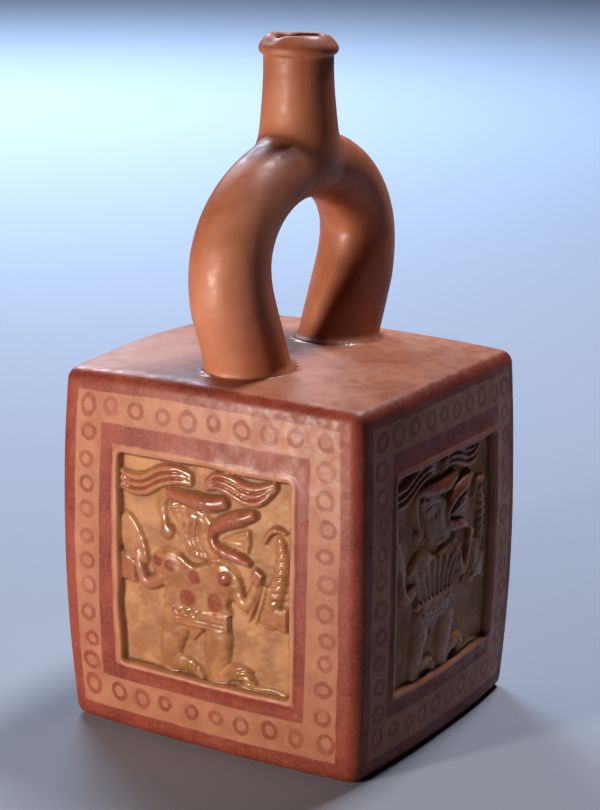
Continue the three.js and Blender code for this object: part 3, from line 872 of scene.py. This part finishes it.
def ring_row(graph, given):
    """A row of hand-painted rings, one to a cell, each a little off in place, size and strength."""
    step = graph.math("DIVIDE", given["Along"], given["Spacing"])
    cell = graph.math("ROUND", step)
    local = graph.math("MULTIPLY", graph.math("SUBTRACT", step, cell), given["Spacing"])
    spot = graph.node("ShaderNodeCombineXYZ", {0: cell, 1: given["Seed"]}).outputs[0]
    chance = graph.split(graph.node("ShaderNodeTexWhiteNoise", {"Vector": spot}).outputs["Color"])
    spot_b = graph.vector("ADD", spot, (37.0, 11.0, 5.0))
    chance_b = graph.split(graph.node("ShaderNodeTexWhiteNoise", {"Vector": spot_b}).outputs["Color"])
    jitter = lambda value, size: graph.math("MULTIPLY", graph.math("SUBTRACT", value, 0.5), size)
    tremble = jitter(graph.noise(given["Place"], 5.0), 1.3)
    x = graph.math("ADD", graph.math("ADD", local, jitter(chance[0], 1.3)), tremble)
    y = graph.math("ADD", given["Across"], jitter(chance[1], 1.3))
    y = graph.math("MULTIPLY", y, graph.math("ADD", 0.95, jitter(chance_b[1], 0.24)))
    gap = graph.math("SQRT", graph.math("ADD", graph.math("MULTIPLY", x, x), graph.math("MULTIPLY", y, y)))
    radius = graph.math("ADD", 2.32, jitter(chance[2], 0.7))
    stroke = graph.math("ABSOLUTE", graph.math("SUBTRACT", gap, radius))
    half = graph.math("ADD", 0.78, jitter(graph.noise(given["Place"], 3.0), 1.1))
    line = graph.fade(graph.math("SUBTRACT", stroke, half), -0.28, 0.22)
    patchy = graph.step(graph.noise(given["Place"], 4.5, 3.0), 0.34, 0.5, 0.5, 1.0)
    strength = graph.math("ADD", 0.72, graph.math("MULTIPLY", chance_b[0], 0.35))
    first = graph.math("GREATER_THAN", cell, graph.math("SUBTRACT", given["First"], 0.5))
    last = graph.math("LESS_THAN", cell, graph.math("ADD", given["Last"], 0.5))
    worn = graph.math("MULTIPLY", graph.math("MULTIPLY", line, patchy), strength)
    return {"Mask": graph.math("MULTIPLY", worn, graph.math("MULTIPLY", first, last))}


def clay_body(graph, given):
    """The fired clay itself: slow mottling, soft streaks of the polishing stone, specks and grain."""
    place = given["Place"]
    slow = graph.noise(place, 34.0, 3.0, 0.55)
    cloudy = graph.noise(place, 9.0, 4.0, 0.6)
    stretched = graph.vector("MULTIPLY", place, (1.0, 1.0, 0.22))
    streak = graph.noise(stretched, 3.2, 3.0, 0.55)
    fine = graph.noise(place, 0.7, 2.0, 0.6)
    warm = graph.blend(graph.step(slow, 0.35, 0.66), given["Deep"], given["Pale"])
    mottled = graph.blend(graph.step(cloudy, 0.48, 0.72, 0.0, 0.55), warm, given["Orange"])
    streaked = graph.blend(graph.step(streak, 0.5, 0.75, 0.0, 0.3), mottled, given["Pale"])
    dusky = graph.blend(graph.step(cloudy, 0.46, 0.28, 0.0, 0.4), streaked, given["Deep"])
    speck = graph.math("MULTIPLY", graph.step(fine, 0.66, 0.74),
                       graph.step(graph.noise(place, 11.0, 2.0), 0.5, 0.66))
    specked = graph.blend(graph.math("MULTIPLY", speck, 0.55), dusky, (0.07, 0.03, 0.018))
    grain = graph.math("ADD", graph.math("MULTIPLY", fine, 0.35),
                       graph.math("MULTIPLY", graph.noise(place, 2.3, 3.0, 0.6), 0.65))
    stone = graph.noise(graph.vector("MULTIPLY", place, (1.0, 1.0, 0.12)), 2.4, 1.0)
    return {"Color": specked, "Grain": grain, "Streaks": stone, "Cloud": cloudy}


RING_ROW = group("ring row",
                 [("Along", "Float"), ("Across", "Float"), ("Spacing", "Float"), ("First", "Float"),
                  ("Last", "Float"), ("Seed", "Float"), ("Place", "Vector")],
                 [("Mask", "Float")], ring_row)
CLAY_BODY = group("clay body",
                  [("Place", "Vector"), ("Deep", "Color"), ("Pale", "Color"), ("Orange", "Color")],
                  [("Color", "Color"), ("Grain", "Float"), ("Streaks", "Float"), ("Cloud", "Float")],
                  clay_body)


def start_material(name):
    """A new material with its graph, its shader and the place on the object in millimetres."""
    material = bpy.data.materials.new(name)
    material.use_nodes = True
    graph = Graph(material.node_tree)
    shader = material.node_tree.nodes["Principled BSDF"]
    place = graph.scaled(graph.node("ShaderNodeTexCoord").outputs["Object"], 1.0 / MM)
    return material, graph, shader, place


def side_coordinates(graph):
    """Across and up on whichever wall a point belongs to, its distance to the wall's upright edge,
    and its distance in from the walls, which is above zero only on the top and the underside."""
    x, y, z = graph.split(graph.attribute("nominal", "Vector"))
    to_x = graph.math("SUBTRACT", HALF[0], graph.math("ABSOLUTE", x))
    to_y = graph.math("SUBTRACT", HALF[1], graph.math("ABSOLUTE", y))
    on_x = graph.math("LESS_THAN", to_x, to_y)
    front_back = graph.math("MULTIPLY", x, graph.math("MULTIPLY", graph.math("SIGN", y), -1.0))
    right_left = graph.math("MULTIPLY", y, graph.math("SIGN", x))
    across = graph.between(on_x, front_back, right_left)
    half = graph.between(on_x, float(HALF[0]), float(HALF[1]))
    inward = graph.math("MINIMUM", to_x, to_y)
    return across, z, half, inward


def painted_slip(graph, place):
    """Masks of the red slip on the walls: the outer band, the frame round the panel and the rings."""
    across, up, half, inward = side_coordinates(graph)
    wobble = graph.math("MULTIPLY", graph.math("SUBTRACT", graph.noise(place, 18.0, 4.0, 0.5), 0.5), 1.5)
    wobble_b = graph.math("MULTIPLY", graph.math("SUBTRACT", graph.noise(place, 9.0, 4.0, 0.5), 0.5), 1.2)

    def inside(reach, bottom, top, shift):
        """How far a point lies inside an upright rectangle that drifts aside towards the foot."""
        drift = graph.math("MULTIPLY", graph.math("SUBTRACT", top, up), shift / 100.0)
        side = graph.math("SUBTRACT", reach, graph.math("ABSOLUTE", graph.math("ADD", across, drift)))
        level = graph.math("MINIMUM", graph.math("SUBTRACT", up, bottom), graph.math("SUBTRACT", top, up))
        return graph.math("MINIMUM", side, level)

    def edge(distance, shake):
        return graph.fade(graph.math("ADD", distance, shake), -0.3, 0.35)

    outer = edge(inside(graph.math("SUBTRACT", half, 6.5), 7.0, 114.2, 0.6), wobble)
    frame_out = inside(graph.math("SUBTRACT", half, 16.6), 18.3, 104.4, 2.0)
    frame_in = inside(graph.between(graph.math("GREATER_THAN", half, 53.0), 32.6, 33.6), 23.4, 98.2, 0.6)
    band = graph.math("MULTIPLY", graph.math("SUBTRACT", 1.0, edge(frame_out, wobble_b)),
                      edge(frame_in, wobble_b))
    column = graph.math("SUBTRACT", half, 11.0)
    width = graph.math("MULTIPLY", column, 2.0 / 9.0)
    row_seed = graph.math("ADD", half, graph.math("SIGN", across))
    common = {"Place": place}
    rings = []
    for level, seed in ((109.4, 3.0), (13.1, 8.0)):
        rings.append(graph.node("ShaderNodeGroup", {
            "Along": graph.math("ADD", across, column), "Across": graph.math("SUBTRACT", up, level),
            "Spacing": width, "First": 0.0, "Last": 9.0, "Seed": graph.math("ADD", half, seed), **common},
            node_tree=RING_ROW).outputs[0])
    beside = graph.math("SUBTRACT", graph.math("ABSOLUTE", across), column)
    rings.append(graph.node("ShaderNodeGroup", {
        "Along": graph.math("SUBTRACT", up, 13.1), "Across": beside, "Spacing": 8.76, "First": 1.0,
        "Last": 10.0, "Seed": row_seed, **common}, node_tree=RING_ROW).outputs[0])
    dots = graph.math("MAXIMUM", graph.math("MAXIMUM", rings[0], rings[1]), rings[2])
    return outer, band, dots, inward


def burnished_clay():
    """Polished clay with a ground of tan, bands and rings of red slip, and a tan sunk panel."""
    material, graph, shader, place = start_material("burnished clay")
    body = graph.node("ShaderNodeGroup", {"Place": place, "Deep": (0.36, 0.12, 0.06),
                                          "Pale": (0.50, 0.205, 0.115), "Orange": (0.47, 0.16, 0.065)},
                      node_tree=CLAY_BODY).outputs
    outer, band, dots, inward = painted_slip(graph, place)
    paint = graph.node("ShaderNodeAttribute", attribute_name="paint")
    # Known fault: the rose tint below follows shine and the gloss follows the figure. They are
    # exchanged, so the figures come out too yellow and too glossy.
    parted = graph.node("ShaderNodeSeparateColor", {0: paint.outputs["Color"]})
    red, shine, figure_mask = parted.outputs[:]
    sunk = paint.outputs["Alpha"]
    cavity = graph.attribute("cavity")
    edge_noise = graph.math("MULTIPLY", graph.math("SUBTRACT", graph.noise(place, 5.0, 3.0), 0.5), 2.4)
    wall = graph.fade(graph.math("ADD", inward, edge_noise), 1.6, 3.0)
    cloud = body["Cloud"]
    fine = graph.noise(place, 1.1, 3.0, 0.65)
    # Ground colours, from the wall to the field and the figure.
    tan = graph.blend(graph.step(cloud, 0.3, 0.7), (0.33, 0.125, 0.066), (0.42, 0.175, 0.098))
    ground = graph.blend(wall, body["Color"], tan)
    yellow = graph.blend(graph.step(graph.noise(place, 7.0, 4.0), 0.35, 0.65), (0.30, 0.13, 0.052),
                         (0.42, 0.205, 0.088))
    field = graph.blend(sunk, ground, yellow)
    rose = graph.blend(graph.step(cloud, 0.35, 0.65), (0.30, 0.10, 0.056), (0.40, 0.155, 0.095))
    field = graph.blend(graph.math("MULTIPLY", shine, 0.8), field, rose)
    # Red slip over it.
    thin = graph.step(fine, 0.3, 0.62, 0.72, 1.0)
    walls = graph.math("MULTIPLY", graph.math("MAXIMUM", graph.math("MAXIMUM", outer, band),
                                              graph.math("MULTIPLY", dots, 0.85)), wall)
    walls = graph.math("MULTIPLY", walls, graph.math("SUBTRACT", 1.0, sunk))
    slip_share = graph.math("MULTIPLY", graph.math("MAXIMUM", walls, red), thin)
    slip = graph.blend(graph.step(graph.noise(place, 12.0, 3.0), 0.35, 0.65), (0.19, 0.031, 0.016),
                       (0.26, 0.050, 0.027))
    painted = graph.blend(slip_share, field, slip)
    # Painted shade in the hollows: the colour runs towards near black where the cavity map is high. Clay
    # rubbed pale on the ridges, which is partly wear and partly a painted highlight.
    # Painted shade: darkening in the hollows, driven by the cavity map.
    hollows = graph.step(cavity, 0.54, 0.85)
    shaded_hollows = graph.blend(graph.math("MULTIPLY", hollows, 0.75), painted, (0.10, 0.04, 0.018))
    # Paler on the ridges, where the cavity map is low: partly rubbed clay, partly a painted highlight.
    ridge_wear_and_highlight = graph.step(cavity, 0.44, 0.2, 0.0, 0.3)
    rubbed = graph.blend(ridge_wear_and_highlight, shaded_hollows, (0.62, 0.30, 0.19))
    graph.feed(shader.inputs["Base Color"], rubbed)
    # Gloss: waxy slip, drier tan, and small matt pits.
    gloss = graph.step(graph.noise(place, 4.0, 3.0), 0.3, 0.7, 0.4, 0.6)
    gloss = graph.math("SUBTRACT", gloss, graph.math("MULTIPLY", figure_mask, 0.22))
    plain_field = graph.math("SUBTRACT", sunk, figure_mask)
    gloss = graph.math("ADD", gloss, graph.math("MULTIPLY", plain_field, 0.08))
    graph.feed(shader.inputs["Roughness"], gloss)
    height = graph.math("ADD", graph.math("MULTIPLY", body["Grain"], 0.6),
                        graph.math("MULTIPLY", body["Streaks"], 0.5))
    bump = graph.node("ShaderNodeBump", {"Strength": 0.35, "Distance": 0.00025, "Height": height})
    graph.feed(shader.inputs["Normal"], bump.outputs[0])
    return material


def raw_clay():
    """The unpolished inside: dark, dry clay."""
    material, graph, shader, place = start_material("raw clay inside")
    body = graph.node("ShaderNodeGroup", {"Place": place, "Deep": (0.09, 0.035, 0.02),
                                          "Pale": (0.17, 0.075, 0.045), "Orange": (0.15, 0.06, 0.03)},
                      node_tree=CLAY_BODY).outputs
    graph.feed(shader.inputs["Base Color"], body["Color"])
    shader.inputs["Roughness"].default_value = 0.85
    bump = graph.node("ShaderNodeBump", {"Strength": 0.5, "Distance": 0.0004, "Height": body["Grain"]})
    graph.feed(shader.inputs["Normal"], bump.outputs[0])
    return material


# ---- Floor, light and camera ----

def studio():
    """A pale floor, a low soft key from the front left, and cool light from above and behind."""
    floor_mesh = bpy.data.meshes.new("floor")
    reach = 9.0
    corners = [(-reach, -reach, 0), (reach, -reach, 0), (reach, reach, 0), (-reach, reach, 0)]
    floor_mesh.from_pydata(corners, [], [(0, 1, 2, 3)])
    floor = as_object(floor_mesh)
    paint = bpy.data.materials.new("pale floor")
    paint.use_nodes = True
    shader = paint.node_tree.nodes["Principled BSDF"]
    shader.inputs["Base Color"].default_value = (0.30, 0.32, 0.37, 1)
    shader.inputs["Roughness"].default_value = 0.75
    floor_mesh.materials.append(paint)
    world = bpy.data.worlds.new("room")
    world.use_nodes = True
    world.node_tree.nodes["Background"].inputs["Color"].default_value = (0.55, 0.68, 1.0, 1)
    world.node_tree.nodes["Background"].inputs["Strength"].default_value = 0.012
    bpy.context.scene.world = world

    def lamp(name, place, aim, size, watts, colour, gleam):
        light = bpy.data.lights.new(name, "AREA")
        light.shape = "RECTANGLE"
        light.size, light.size_y = size
        light.energy, light.color, light.specular_factor = watts, colour, gleam
        item = bpy.data.objects.new(name, light)
        bpy.context.scene.collection.objects.link(item)
        item.location = place
        item.rotation_euler = (Vector(aim) - Vector(place)).to_track_quat("-Z", "Y").to_euler()
        item.visible_camera = False

    lamp("key", (-0.15, -0.52, 0.12), (0, 0, 0.11), (0.05, 0.12), 2.7, (1.0, 0.92, 0.84), 1.0)
    lamp("overhead", (0.10, 0.42, 1.05), (0, 0, 0.12), (0.22, 0.22), 9.0, (0.93, 0.93, 1.0), 0.3)
    lamp("window", (-0.8, 0.6, 0.8), (-0.35, 0.35, 0.0), (0.5, 0.5), 5.0, (0.62, 0.78, 1.0), 0.2)
    lamp("backdrop", (-1.3, 1.2, 1.3), (-1.3, 2.0, 0.0), (0.8, 0.8), 70.0, (0.62, 0.78, 1.0), 0.2)


def camera():
    """A long lens, 32 degrees to the right of the front and 15 degrees up."""
    azimuth, elevation, roll = math.radians(31.82), math.radians(14.83), math.radians(0.403)
    body = 2 * HALF[2] * MM
    back = np.array([math.sin(azimuth) * math.cos(elevation), -math.cos(azimuth) * math.cos(elevation),
                     math.sin(elevation)])
    right = np.array([math.cos(azimuth), math.sin(azimuth), 0.0])
    up = np.cross(back, right)
    target = np.array([0, 0, 0.5]) + 0.0176 * right + 0.3568 * up
    place = (target + 5.9687 * back) * body
    turned_right = right * math.cos(roll) + up * math.sin(roll)
    turned_up = up * math.cos(roll) - right * math.sin(roll)
    lens = bpy.data.cameras.new("camera")
    lens.sensor_fit = "VERTICAL"
    lens.sensor_height = 36.0
    lens.lens = 94.53
    item = bpy.data.objects.new("camera", lens)
    columns = np.stack([turned_right, turned_up, back, place], -1)
    item.matrix_world = Matrix([*columns.tolist(), [0, 0, 0, 1]])
    bpy.context.scene.collection.objects.link(item)
    bpy.context.scene.camera = item
    bpy.context.scene.view_settings.view_transform = "Standard"
    bpy.context.scene.view_settings.look = "Medium High Contrast"


vessel = build_vessel()
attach(vessel, "root")
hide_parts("vessel")
studio()
camera()
